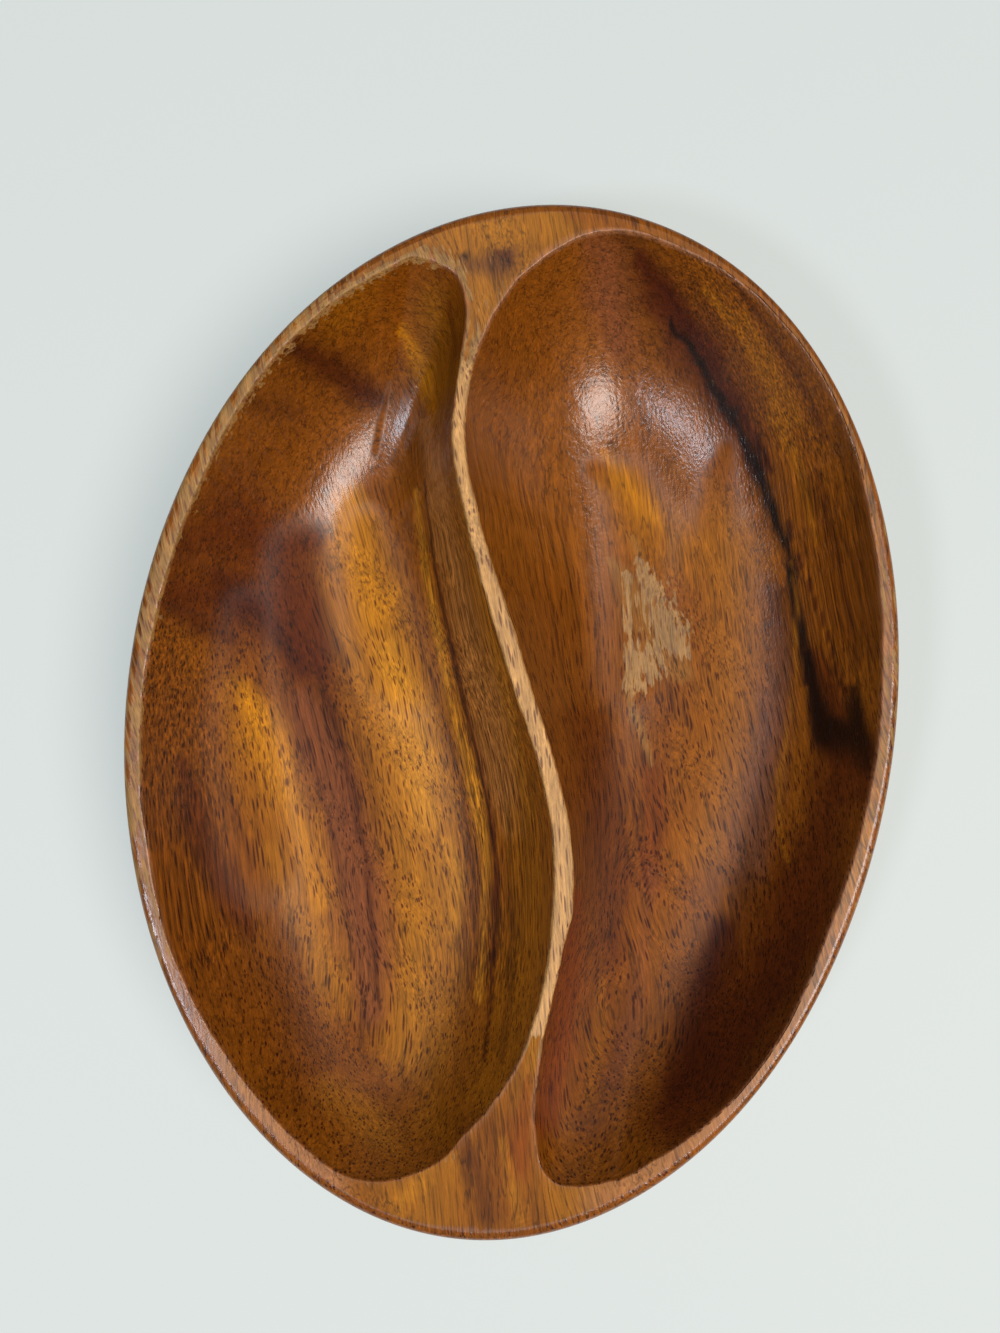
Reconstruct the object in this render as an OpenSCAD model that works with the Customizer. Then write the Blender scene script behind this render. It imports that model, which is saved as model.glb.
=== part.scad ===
// Divided serving bowl, carved from one block of dark tropical hardwood.
// Two long wells are hollowed into an oval blank. The wood left standing between them is an
// S-shaped divider that widens into a three-cornered web where it meets the rim at each end.
// Millimetres. The foot rests on z = 0, the oval's long axis is y and its short axis is x.

/* [Block] */
// Length of the oval rim, along y
bowl_length = 305; // [250:5:360]
// Width of the oval rim, along x
bowl_width = 225; // [185:5:265]
// Height from the table to the flat top of the rim
bowl_height = 50; // [42:1:60]
// Wood left under the deepest part of the wells
floor_thickness = 11; // [8:0.5:16]

/* [Rim] */
// Width of the rim, from the outer edge to the edge of a well
rim_width = 5.5; // [4.5:0.25:8]
// Radius of the rounding on the outer edge of the rim
rim_rounding = 2.4; // [1:0.2:3.2]
// Radius of the eased edge where the flat top turns down into a well
edge_easing = 0.8; // [0.3:0.1:1.2]

/* [Divider] */
// Thickness of the divider at the flat top
divider_width = 4.8; // [4:0.2:7]

/* [Shape of the oval] */
// How much wider the oval is towards its +y end, as a share of the width
egg_share = 0.02; // [0:0.01:0.06]
// How far both ends lean towards +x, as a share of half the width
lean_share = 0.03; // [0:0.01:0.06]

/* [Shape of the sides] */
// Size of the flat foot, as a share of the rim's size
foot_share = 0.63; // [0.58:0.01:0.72]
// Fullness of the outer side, where 1 is a plain cone
side_fullness = 1.9; // [1.5:0.1:2.3]
// Fullness of the wells, where a high value gives steeper walls and a flatter floor
well_fullness = 2.7; // [2.3:0.1:3.2]
// Length of the level floor line, as a share of a well's own length
floor_line_share = 0.42; // [0.3:0.02:0.55]
// Place of that line across a well, as a share of the way from the rim side to the divider
floor_place_share = 0.54; // [0.46:0.01:0.6]

/* [Hidden] */

// Points along the rim between the two ends of the divider, and along the divider
steps = 60;
// Points of the curves between two outline points, before they are spaced out evenly
curve_steps = 10;
// Rings down a well's wall, down the outer side and round the rim's outer edge
well_rings = 12;
side_rings = 8;
edge_rings = 3;

// Where the divider's centre line meets the rim, as angles round the oval from +y towards +x
head_angle = -14;
tail_angle = 175;
angle_step = 10;

// Width of the rim at every angle_step round the oval, as shares of rim_width.
// It is narrow at the upper right and broad at the lower left and lower right.
rim_shares = [
    1.00, 0.95, 0.75, 0.58, 0.53, 0.60, 0.80, 0.95, 1.05,
    1.00, 1.10, 1.10, 0.90, 0.90, 1.15, 1.45, 1.45, 1.35,
    1.30, 1.30, 1.35, 1.35, 1.30, 1.10, 0.95, 1.00, 0.95,
    1.00, 1.00, 1.00, 0.85, 0.75, 0.80, 1.00, 1.05, 1.05
];

// The divider's centre line, tail to head: shares of half the width, then half the length
divider_line_shares = [
    [0.188, -0.56], [0.203, -0.44], [0.203, -0.32], [0.173, -0.20], [0.117, -0.08],
    [0.038, 0.04], [-0.038, 0.16], [-0.117, 0.28], [-0.184, 0.40], [-0.235, 0.52], [-0.245, 0.64]
];
// Thickness of the divider at those points, as shares of divider_width
divider_width_shares = [0.80, 0.78, 1.20, 1.12, 0.96, 1.00, 1.06, 0.92, 0.76, 0.78, 0.78];
// The centre line's one point in the web at each end
tail_line_shares = [0.145, -0.76];
head_line_shares = [-0.228, 0.80];

// Rounded ends of the wells, as shares of half the width and half the length.
// Each list runs from the corner nearest the end of the divider's centre line.
left_head_rim_shares = [[-0.310, 0.834], [-0.400, 0.853]];
left_tail_rim_shares = [[-0.168, -0.903], [-0.088, -0.881]];
left_tail_web_shares = [[-0.024, -0.851], [0.030, -0.797], [0.088, -0.736], [0.140, -0.651]];
left_head_web_shares = [[-0.260, 0.730], [-0.270, 0.785]];
right_head_rim_shares = [[-0.045, 0.909], [0.005, 0.935], [0.066, 0.952], [0.130, 0.957]];
right_tail_rim_shares = [[0.429, -0.838], [0.352, -0.857]];
right_tail_web_shares = [[0.287, -0.858], [0.245, -0.828], [0.215, -0.762], [0.203, -0.670]];
right_head_web_shares = [[-0.213, 0.706], [-0.183, 0.775], [-0.142, 0.835], [-0.095, 0.876]];

// Half width of the level strip along each floor line, as a share of the way to the well's edge
floor_strip_share = 0.07;

// Angles at which the rim side of each well starts and ends
left_angles = [330, 200];
right_angles = [10, 150];

// The rim's fillets give way where the rim itself is thin
rounding_limit_share = 0.45;
easing_limit_share = 0.2;
outer_radius = min(rim_rounding, rim_width * rounding_limit_share);
inner_radius = min(edge_easing, rim_width * easing_limit_share);

half = [bowl_width / 2, bowl_length / 2];
well_depth = bowl_height - floor_thickness;

function scaled(share) = [share[0] * half[0], share[1] * half[1]];
function unit(v) = v / norm(v);
function right_of(v) = [v[1], -v[0]];

// A smooth closed curve through a list, read at any place u counted in list items
function item(list, i) = list[(i + 2 * len(list)) % len(list)];
function curve(list, u) =
    let (i = floor(u))
    let (f = u - i)
    let (a = item(list, i - 1))
    let (b = item(list, i))
    let (c = item(list, i + 1))
    let (d = item(list, i + 2))
    b + (c - a) * f / 2 + (2 * a - 5 * b + 4 * c - d) * pow(f, 2) / 2
      + (3 * b - a - 3 * c + d) * pow(f, 3) / 2;

// The oval's outer edge in plan, and a point set in from it
function oval(t) = [
    half[0] * (sin(t) * (1 + egg_share * cos(t)) + lean_share * pow(cos(t), 2)),
    half[1] * cos(t)
];
function set_in(t, inset) = oval(t) + inset * unit(right_of(oval(t + 1) - oval(t - 1)));
function rim_share(t) = curve(rim_shares, t / angle_step + len(rim_shares));

// Even spacing: n steps along an open run of points
function run_lengths(run) = [
    for (i = 0, s = 0; i < len(run); s = s + norm(item(run, i + 1) - run[i]), i = i + 1) s
];
function evenly(run, n) =
    let (lengths = run_lengths(run))
    let (total = lengths[len(run) - 1])
    let (xs = [for (i = [0 : len(run) - 1]) [lengths[i], run[i][0]]])
    let (ys = [for (i = [0 : len(run) - 1]) [lengths[i], run[i][1]]])
    [for (i = [0 : n]) [lookup(total * i / n, xs), lookup(total * i / n, ys)]];

// The rim side of a well from one angle to another
function rim_side(angles) =
    let (turn = angles[1] > angles[0] ? angle_step : -angle_step)
    [for (t = [angles[0] : turn : angles[1]]) set_in(t, rim_width * rim_share(t))];

// The divider side of a well, tail to head, where side is -1 for the left and 1 for the right
divider_line = [for (p = divider_line_shares) scaled(p)];
function divider_side(side) = [
    for (i = [0 : len(divider_line) - 1])
        let (before = divider_line[max(i - 1, 0)])
        let (after = divider_line[min(i + 1, len(divider_line) - 1)])
        divider_line[i]
            + side * unit(right_of(after - before)) * divider_width * divider_width_shares[i] / 2
];

// The edge of a well: its rim half, then its divider half, with steps points in each
function well_edge(rim_half, web_half) =
    let (knots = concat(rim_half, web_half))
    let (dense = [for (k = [0 : len(knots) * curve_steps]) curve(knots, k / curve_steps)])
    let (turn = len(rim_half) * curve_steps)
    let (rim_run = evenly([for (k = [0 : turn]) dense[k]], steps))
    let (web_run = evenly([for (k = [turn : len(dense) - 1]) dense[k]], steps))
    concat(
        [for (i = [0 : steps - 1]) rim_run[i]],
        [for (i = [0 : steps - 1]) web_run[i]]
    );

left_edge = well_edge(
    concat(
        [for (p = left_head_rim_shares) scaled(p)],
        rim_side(left_angles),
        [for (p = left_tail_rim_shares) scaled(p)]
    ),
    concat(
        [for (p = left_tail_web_shares) scaled(p)],
        divider_side(-1),
        [for (p = left_head_web_shares) scaled(p)]
    )
);
right_edge = well_edge(
    concat(
        [for (p = right_head_rim_shares) scaled(p)],
        rim_side(right_angles),
        [for (p = right_tail_rim_shares) scaled(p)]
    ),
    concat(
        [for (p = right_tail_web_shares) scaled(p)],
        divider_side(1),
        [for (p = right_head_web_shares) scaled(p)]
    )
);

// The line under a well to which its walls run down. It follows the middle of the well.
function floor_point(edge, i) =
    let (j = i <= steps ? i : 2 * steps - i)
    let (middle = [for (k = [0 : steps])
        edge[k] + (item(edge, 2 * steps - k) - edge[k]) * floor_place_share])
    let (u = steps * (1 - floor_line_share * cos(180 * j / steps)) / 2)
    let (k = floor(u))
    middle[k] + (middle[k + 1] - middle[k]) * (u - k);
function floor_line(edge) =
    let (half_line = [for (i = [0 : steps]) floor_point(edge, i)])
    [for (i = [0 : 2 * steps - 1]) half_line[i <= steps ? i : 2 * steps - i]];

// Depth of a well's wall at share q of the way from its edge to the level strip
function wall_drop(q) = inner_radius + (well_depth - inner_radius) * (1 - pow(1 - q, well_fullness));
function wall_share(k) = pow(k / well_rings, 1.25);

// Rings of a well, from the flat top round the eased edge and down to the level strip.
// way is 1 for an edge that runs clockwise in plan and -1 for one that runs the other way.
function eased_ring(edge, way, angle) = [
    for (i = [0 : 2 * steps - 1])
        let (along = item(edge, i + 1) - item(edge, i - 1))
        let (p = edge[i] - way * unit(right_of(along)) * inner_radius * (1 - sin(angle)))
        [p[0], p[1], bowl_height - inner_radius * (1 - cos(angle))]
];
function wall_ring(edge, line, q) = [
    for (i = [0 : 2 * steps - 1])
        let (p = edge[i] + (line[i] - edge[i]) * q * (1 - floor_strip_share))
        [p[0], p[1], bowl_height - wall_drop(q)]
];
function well_points(edge, way) =
    let (line = floor_line(edge))
    concat(
        eased_ring(edge, way, 0),
        eased_ring(edge, way, 45),
        [for (k = [0 : well_rings]) each wall_ring(edge, line, wall_share(k))]
    );

// Rings of the outside, from the flat top over the rounded rim and down to the foot
function ring_angle(i) =
    i <= steps ? head_angle + (tail_angle - head_angle) * i / steps
               : tail_angle + (360 + head_angle - tail_angle) * (i - steps) / steps;
function outer_round(t) = outer_radius * rim_share(t);
function rim_ring(angle) = [
    for (i = [0 : 2 * steps - 1])
        let (t = ring_angle(i))
        let (p = set_in(t, outer_round(t) * (1 - sin(angle))))
        [p[0], p[1], bowl_height - outer_round(t) * (1 - cos(angle))]
];
function side_share(h) =
    foot_share + (1 - foot_share) * pow(1 - pow(1 - h, side_fullness), 1 / sqrt(side_fullness));
function side_ring(h) = [
    for (i = [0 : 2 * steps - 1])
        let (t = ring_angle(i))
        let (p = oval(t) * side_share(h))
        [p[0], p[1], (bowl_height - outer_round(t)) * h]
];

// The divider's centre line on the flat top, tail to head, without its two ends
centre_knots = concat(
    [oval(tail_angle), scaled(tail_line_shares)],
    divider_line,
    [scaled(head_line_shares), oval(head_angle)]
);
centre_dense = [
    for (k = [0 : (len(centre_knots) - 1) * curve_steps])
        let (u = k / curve_steps)
        let (i = min(floor(u), len(centre_knots) - 2))
        let (knots = concat(
            [2 * centre_knots[0] - centre_knots[1]],
            centre_knots,
            [2 * centre_knots[len(centre_knots) - 1] - centre_knots[len(centre_knots) - 2]]
        ))
        curve(knots, u + 1)
];
centre_run = evenly(centre_dense, steps);

// One closed skin. Each block of points starts at the count of the points before it.
ring = 2 * steps;
outer_points = concat(
    [for (k = [0 : edge_rings]) each rim_ring(90 * k / edge_rings)],
    [for (k = [1 : side_rings]) each side_ring(pow(1 - k / side_rings, 1.4))]
);
centre_points = [for (i = [1 : steps - 1]) [centre_run[i][0], centre_run[i][1], bowl_height]];
centre_start = len(outer_points);
left_start = centre_start + len(centre_points);
left_points = well_points(left_edge, -1);
right_start = left_start + len(left_points);
right_points = well_points(right_edge, 1);

// The border of each half of the flat top: half of the rim, then the divider's centre line
right_border = concat([for (i = [0 : steps]) i], [for (i = [0 : steps - 2]) centre_start + i]);
left_border = concat(
    [0],
    [for (i = [1 : steps]) ring - i],
    [for (i = [0 : steps - 2]) centre_start + i]
);

function quad(a, b, c, d, way) = way > 0 ? [a, b, c, d] : [d, c, b, a];
function well_faces(border, start, way) =
    let (last = start + ring * (well_rings + 2))
    concat(
        [for (i = [0 : ring - 1])
            quad(border[i], item(border, i + 1), start + (i + 1) % ring, start + i, way)],
        [for (k = [0 : well_rings + 1]) for (i = [0 : ring - 1])
            let (a = start + k * ring)
            let (b = a + ring)
            quad(a + i, a + (i + 1) % ring, b + (i + 1) % ring, b + i, way)],
        [for (i = [0 : steps - 1])
            let (row = i == 0 ? [0, 1, ring - 1]
                : i == steps - 1 ? [i, i + 1, i + 2]
                : [i, i + 1, ring - i - 1, ring - i])
            [for (j = way > 0 ? [0 : len(row) - 1] : [len(row) - 1 : -1 : 0]) last + row[j]]]
    );
outer_faces = concat(
    [for (k = [0 : edge_rings + side_rings - 1]) for (i = [0 : ring - 1])
        let (a = k * ring)
        let (b = a + ring)
        [a + (i + 1) % ring, a + i, b + i, b + (i + 1) % ring]],
    [[for (i = [1 : ring]) (edge_rings + side_rings) * ring + ring - i]]
);

// The whole bowl is one piece of wood with a clear coat
module carved_bowl() {
    color("saddlebrown")
        polyhedron(
            points = concat(outer_points, centre_points, left_points, right_points),
            faces = concat(
                outer_faces,
                well_faces(left_border, left_start, -1),
                well_faces(right_border, right_start, 1)
            ),
            convexity = 6
        );
}

carved_bowl();
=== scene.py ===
import bpy
import numpy as np
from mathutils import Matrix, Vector


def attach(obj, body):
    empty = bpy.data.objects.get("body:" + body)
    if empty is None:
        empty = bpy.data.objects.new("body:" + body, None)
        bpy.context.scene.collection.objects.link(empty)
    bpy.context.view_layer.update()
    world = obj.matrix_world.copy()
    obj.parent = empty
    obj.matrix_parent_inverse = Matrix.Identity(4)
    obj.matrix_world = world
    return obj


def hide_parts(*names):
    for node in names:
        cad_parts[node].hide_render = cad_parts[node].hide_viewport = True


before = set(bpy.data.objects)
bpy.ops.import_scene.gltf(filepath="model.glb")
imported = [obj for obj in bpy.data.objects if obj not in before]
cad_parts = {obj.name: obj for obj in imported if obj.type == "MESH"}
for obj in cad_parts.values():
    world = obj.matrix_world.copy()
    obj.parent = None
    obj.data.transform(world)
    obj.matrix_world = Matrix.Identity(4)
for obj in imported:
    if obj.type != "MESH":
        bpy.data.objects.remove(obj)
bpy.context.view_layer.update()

# ------------------------------------------------------------------ carved bowl: the shape
# The one piece of a divided serving bowl, carved from a block of dark tropical hardwood. Both wells
# are hollowed from the top and the divider is the wood left between them, so the wells, rim, divider
# and the webs at its ends are one skin with no joint in it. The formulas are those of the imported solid.

LENGTH, WIDTH, HEIGHT, FLOOR = 305.0, 225.0, 50.0, 11.0     # mm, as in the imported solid
RIM, ROUND, EASE, DIVIDER = 5.5, 2.4, 0.8, 4.8
EGG, LEAN, FOOT, SIDE_FULL = 0.02, 0.03, 0.63, 1.9
WELL_FULL, LINE, PLACE, STRIP = 2.7, 0.42, 0.54, 0.07
HEAD_ANGLE, TAIL_ANGLE = -14.0, 175.0                       # where the divider meets the rim
HALF = np.array([WIDTH / 2, LENGTH / 2])

STEPS = 340             # points along half a well's edge, about 0.8 mm apart
DENSE = 40              # points of the curve between two outline points
WALL_RINGS = 45
TOP_RINGS = 8           # rings across the flat top, from the outer edge to a well's edge
SIDE_RINGS = 15
FOOT_RINGS = (0.985, 0.9, 0.7, 0.45, 0.2)
FOOT_STEP = 0.5         # mm that the side's last ring stays above the flat foot
SIDE_PACKING = 1.4      # crowds the side's rings towards the foot
RING_PACKING = 1.25     # crowds the walls' rings towards the edge, where they curve most
SMOOTH_HOLLOW, SMALL_HOLLOW = 0.10, 0.035                   # mm deep, left in the wells by hand sanding
KEEP_IN = 0.9997        # a finer oval bulges past the solid's flat facets, so it is drawn a hair smaller

RIM_SHARES = np.array([
    1.00, 0.95, 0.75, 0.58, 0.53, 0.60, 0.80, 0.95, 1.05, 1.00, 1.10, 1.10, 0.90, 0.90, 1.15, 1.45, 1.45,
    1.35, 1.30, 1.30, 1.35, 1.35, 1.30, 1.10, 0.95, 1.00, 0.95, 1.00, 1.00, 1.00, 0.85, 0.75, 0.80, 1.00,
    1.05, 1.05])
DIVIDER_LINE = HALF * [
    (0.188, -0.56), (0.203, -0.44), (0.203, -0.32), (0.173, -0.20), (0.117, -0.08), (0.038, 0.04),
    (-0.038, 0.16), (-0.117, 0.28), (-0.184, 0.40), (-0.235, 0.52), (-0.245, 0.64)]
DIVIDER_SHARES = np.array([0.80, 0.78, 1.20, 1.12, 0.96, 1.00, 1.06, 0.92, 0.76, 0.78, 0.78])
TAIL_POINT, HEAD_POINT = HALF * (0.145, -0.76), HALF * (-0.228, 0.80)
LEFT_HEAD_RIM = HALF * [(-0.310, 0.834), (-0.400, 0.853)]
LEFT_TAIL_RIM = HALF * [(-0.168, -0.903), (-0.088, -0.881)]
LEFT_TAIL_WEB = HALF * [(-0.024, -0.851), (0.030, -0.797), (0.088, -0.736), (0.140, -0.651)]
LEFT_HEAD_WEB = HALF * [(-0.260, 0.730), (-0.270, 0.785)]
RIGHT_HEAD_RIM = HALF * [(-0.045, 0.909), (0.005, 0.935), (0.066, 0.952), (0.130, 0.957)]
RIGHT_TAIL_RIM = HALF * [(0.429, -0.838), (0.352, -0.857)]
RIGHT_TAIL_WEB = HALF * [(0.287, -0.858), (0.245, -0.828), (0.215, -0.762), (0.203, -0.670)]
RIGHT_HEAD_WEB = HALF * [(-0.213, 0.706), (-0.183, 0.775), (-0.142, 0.835), (-0.095, 0.876)]


def curve(knots, place):
    """A smooth closed curve through the knots, read at any place counted in knots."""
    knots, place = np.asarray(knots, float), np.asarray(place, float)
    n, i = len(knots), np.floor(place).astype(int)
    f = (place - i)[..., None] if knots.ndim == 2 else place - i
    a, b, c, d = (knots[(i + k) % n] for k in (-1, 0, 1, 2))
    return b + (c - a) * f / 2 + (2 * a - 5 * b + 4 * c - d) * f**2 / 2 + (3 * b - a - 3 * c + d) * f**3 / 2


def unit(v):
    return v / np.linalg.norm(v, axis=-1, keepdims=True)


def right_of(v):
    return np.stack([v[..., 1], -v[..., 0]], -1)


def oval(turn):
    """The outer edge in plan, at angles in degrees from +Y towards +X."""
    r = np.radians(turn)
    across = np.sin(r) * (1 + EGG * np.cos(r)) + LEAN * np.cos(r) ** 2
    return np.stack([HALF[0] * across, HALF[1] * np.cos(r)], -1)


def set_in(turn, inset):
    return oval(turn) + np.asarray(inset)[..., None] * unit(right_of(oval(turn + 1) - oval(turn - 1)))


def rim_share(turn):
    return curve(RIM_SHARES, np.asarray(turn) / 10)


def evenly(run, n):
    """n even steps along an open run of points."""
    gone = np.r_[0, np.cumsum(np.linalg.norm(np.diff(run, axis=0), axis=1))]
    at = gone[-1] * np.arange(n + 1) / n
    return np.stack([np.interp(at, gone, run[:, 0]), np.interp(at, gone, run[:, 1])], -1)


def rim_side(start, end):
    turn = np.arange(start, end + np.sign(end - start), 10.0 * np.sign(end - start))
    return set_in(turn, RIM * rim_share(turn))


def divider_side(side):
    p = DIVIDER_LINE
    before, after = np.r_[p[:1], p[:-1]], np.r_[p[1:], p[-1:]]
    return p + side * unit(right_of(after - before)) * (DIVIDER * DIVIDER_SHARES / 2)[:, None]


def well_edge(rim_half, web_half):
    """The edge of a well, its rim half and then its divider half, with STEPS points in each."""
    knots = np.concatenate([*rim_half, *web_half])
    run = curve(knots, np.arange(len(knots) * DENSE + 1) / DENSE)
    corner = sum(map(len, rim_half)) * DENSE
    return np.concatenate([evenly(run[:corner + 1], STEPS)[:-1], evenly(run[corner:], STEPS)[:-1]])


def floor_line(edge):
    """For each point of a well's edge, the place on the floor's middle line that its wall runs down to."""
    k = np.arange(STEPS + 1)
    middle = edge[k] + (edge[(2 * STEPS - k) % (2 * STEPS)] - edge[k]) * PLACE
    j = np.arange(2 * STEPS)
    j = np.where(j <= STEPS, j, 2 * STEPS - j)
    at = STEPS * (1 - LINE * np.cos(np.pi * j / STEPS)) / 2
    return np.stack([np.interp(at, k, middle[:, 0]), np.interp(at, k, middle[:, 1])], -1)


def swell(points, cell, seed):
    """Smooth random values from -1 to 1 over points in mm, with one swell about every cell mm."""
    table = np.random.default_rng(seed).uniform(-1, 1, (32, 32, 32))
    place = points / cell
    low = np.floor(place).astype(int)
    f = place - low
    f = f * f * (3 - 2 * f)
    total = np.zeros(len(points))
    for corner in np.ndindex(2, 2, 2):
        k = (low + corner) % 32
        total += np.prod(np.where(corner, f, 1 - f), axis=1) * table[k[:, 0], k[:, 1], k[:, 2]]
    return total


def level(xy, z):
    return np.column_stack([xy, np.broadcast_to(z, len(xy))])


RING = 2 * STEPS
count = np.arange(RING)
turn = np.where(count <= STEPS, HEAD_ANGLE + (TAIL_ANGLE - HEAD_ANGLE) * count / STEPS,
                TAIL_ANGLE + (360 + HEAD_ANGLE - TAIL_ANGLE) * (count - STEPS) / STEPS)
radius = ROUND * rim_share(turn)

# Outside, from the flat top over the rounded edge and down the side to the foot
outside = []
for a in np.radians(np.linspace(0, 90, 7)):
    outside.append(level(set_in(turn, radius * (1 - np.sin(a))), HEIGHT - radius * (1 - np.cos(a))))
for k in range(1, SIDE_RINGS + 1):
    h = (1 - k / SIDE_RINGS) ** SIDE_PACKING
    share = FOOT + (1 - FOOT) * (1 - (1 - h) ** SIDE_FULL) ** (1 / np.sqrt(SIDE_FULL))
    outside.append(level(oval(turn) * share, np.maximum((HEIGHT - radius) * h, FOOT_STEP)))
for share in FOOT_RINGS:
    outside.append(level(oval(turn) * FOOT * share, 0))

# The divider's centre line on the flat top, tail to head
ends = outside[0][[STEPS, 0], :2]
knots = np.concatenate([[ends[0], TAIL_POINT], DIVIDER_LINE, [HEAD_POINT, ends[1]]])
knots = np.concatenate([[2 * knots[0] - knots[1]], knots, [2 * knots[-1] - knots[-2]]])
centre = evenly(curve(knots, 1 + np.arange((len(knots) - 3) * DENSE + 1) / DENSE), STEPS)[1:-1]

edges = {
    -1: well_edge([LEFT_HEAD_RIM, rim_side(330, 200), LEFT_TAIL_RIM],
                  [LEFT_TAIL_WEB, divider_side(-1), LEFT_HEAD_WEB]),
    1: well_edge([RIGHT_HEAD_RIM, rim_side(10, 150), RIGHT_TAIL_RIM],
                 [RIGHT_TAIL_WEB, divider_side(1), RIGHT_HEAD_WEB]),
}

blocks, quads, spare = [], [], []       # rings of points, faces by four points, and the odd ends
sides, depths, edge_gaps = [], [], []   # for each block: which part it is, how far down, mm from an edge
made = 0


def put(points, side, depth, gap):
    """Adds a ring of points and returns the number of its first one."""
    global made
    blocks.append(points)
    sides.append(np.full(len(points), side))
    depths.append(np.broadcast_to(depth, len(points)))
    edge_gaps.append(np.broadcast_to(gap, len(points)))
    made += len(points)
    return made - len(points)


def join(above, below, way):
    """Faces between two rows of point numbers that run round together."""
    a, b = (above, below) if way > 0 else (below, above)
    quads.append(np.column_stack([a, np.roll(a, -1), np.roll(b, -1), b]))


OUTER, LEFT_WELL, RIGHT_WELL, TOP = 0, -1, 1, 2
rows = [put(p, OUTER, 0, 9) + count for p in outside]
for above, below in zip(rows, rows[1:]):
    join(above, below, -1)
hub = put(np.array([[0, 0, 0.0]]), OUTER, 0, 9)
spare += [(hub, int(rows[-1][(i + 1) % RING]), int(rows[-1][i])) for i in count]
centre_start = put(level(centre, HEIGHT), TOP, 0, DIVIDER / 2)

for way, edge in edges.items():
    ahead = unit(right_of(np.roll(edge, -1, 0) - np.roll(edge, 1, 0)))
    # The edge was followed by hand, so it wanders by up to about 0.3 mm
    flat = level(edge, 0)
    edge = edge + ahead * (0.22 * swell(flat, 9, 5) + 0.14 * swell(flat, 2.6, 6))[:, None]
    line = floor_line(edge)
    half_rim = count[:STEPS + 1] if way > 0 else np.r_[0, RING - count[1:STEPS + 1]]
    border = np.r_[rows[0][half_rim], centre_start + np.arange(STEPS - 1)]
    start = np.concatenate(blocks)[border]
    eased = level(edge - way * ahead * EASE, HEIGHT)
    row = border
    for k in range(1, TOP_RINGS):
        share = k / TOP_RINGS
        p = start + (eased - start) * share
        below = put(p, TOP, 0, np.linalg.norm(eased - p, axis=1)) + count
        join(row, below, way)
        row = below
    for a in np.radians((0, 30, 60)):
        p = level(edge - way * ahead * EASE * (1 - np.sin(a)), HEIGHT - EASE * (1 - np.cos(a)))
        below = put(p, TOP if a == 0 else way, 0, 0) + count
        join(row, below, way)
        row = below
    for k in range(WALL_RINGS + 1):
        q = (k / WALL_RINGS) ** RING_PACKING
        p = level(edge + (line - edge) * q * (1 - STRIP),
                  HEIGHT - EASE - (HEIGHT - FLOOR - EASE) * (1 - (1 - q) ** WELL_FULL))
        # Sanded by hand, so the walls keep shallow hollows up to a tenth of a millimetre deep
        p[:, 2] += min(1, 4 * q) * (SMOOTH_HOLLOW * swell(p, 17, 11) + SMALL_HOLLOW * swell(p, 7, 12))
        below = put(p, way, q, np.linalg.norm(p[:, :2] - edge, axis=1)) + count
        join(row, below, way)
        row = below
    for share in (0.5, 0.85):
        p = level(edge + (line - edge) * (1 - STRIP * (1 - share)), FLOOR)
        p[:, 2] += SMOOTH_HOLLOW * swell(p, 17, 11) + SMALL_HOLLOW * swell(p, 7, 12)
        below = put(p, way, 1, 30) + count
        join(row, below, way)
        row = below
    for i in range(STEPS):
        corners = [row[0], row[1], row[-1]] if i == 0 else \
            [row[i], row[i + 1], row[i + 2]] if i == STEPS - 1 else \
            [row[i], row[i + 1], row[RING - i - 1], row[RING - i]]
        spare.append([int(c) for c in (corners if way > 0 else corners[::-1])])

points = np.concatenate(blocks)
points[:, :2] *= KEEP_IN
side, depth, edge_gap = map(np.concatenate, (sides, depths, edge_gaps))

bowl_mesh = bpy.data.meshes.new("bowl_of_wood")
bowl_mesh.from_pydata((points / 1000).tolist(), [], np.concatenate(quads).tolist() + spare)
bowl_mesh.shade_smooth()
bowl = bpy.data.objects.new("bowl_of_wood", bowl_mesh)
bpy.context.scene.collection.objects.link(bowl)

# ------------------------------------------------------------------ carved bowl: the wood's figure
# Dark heartwood runs through the block in bands and streaks, with golden and caramel wood between. Some
# streaks are painted light: sheen on the rim's rounded edge and in the wells, and shade on the right well's
# lower wall.
# Each streak lies along its own line on a plan, and later ones cover earlier ones. The plan was drawn
# from above the middle of the bowl, so a place low in a well lies a little nearer to the middle.

EYE = np.array([-5.1, 15.5, 430.0])     # mm, where the plan was drawn from
GRAIN_LEAN = np.radians(17)             # the grain runs 17 degrees off +Y, towards -X
SLANT_RUN = 60                          # mm from y = 0 within which its slant changes with x


def linear(code):
    """An sRGB hex colour as linear red, green and blue."""
    c = np.array([int(code[i:i + 2], 16) for i in (0, 2, 4)]) / 255
    return np.where(c <= 0.04045, c / 12.92, ((c + 0.055) / 1.055) ** 2.4)


TONES = {
    "golden": linear("C27E06"), "honey": linear("C2821C"), "caramel": linear("A86C14"),
    "amber": linear("9C6008"), "russet": linear("864C0A"), "chestnut": linear("743E06"),
    "olive": linear("7E4C06"), "redheart": linear("7C3606"), "umber": linear("5A2E06"),
    "mahogany": linear("562404"), "redbrown": linear("5E2004"), "espresso": linear("3C1204"),
    "blackheart": linear("0C0200"), "plum_and_sheen": linear("744022"), "ashen": linear("A06830"),
    "dusky": linear("663C24"), "pink_wear_and_sheen": linear("A2704C"), "knot": linear("54301A"),
    "tan": linear("906A34"), "sand": linear("BC8E52"),
}
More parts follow.
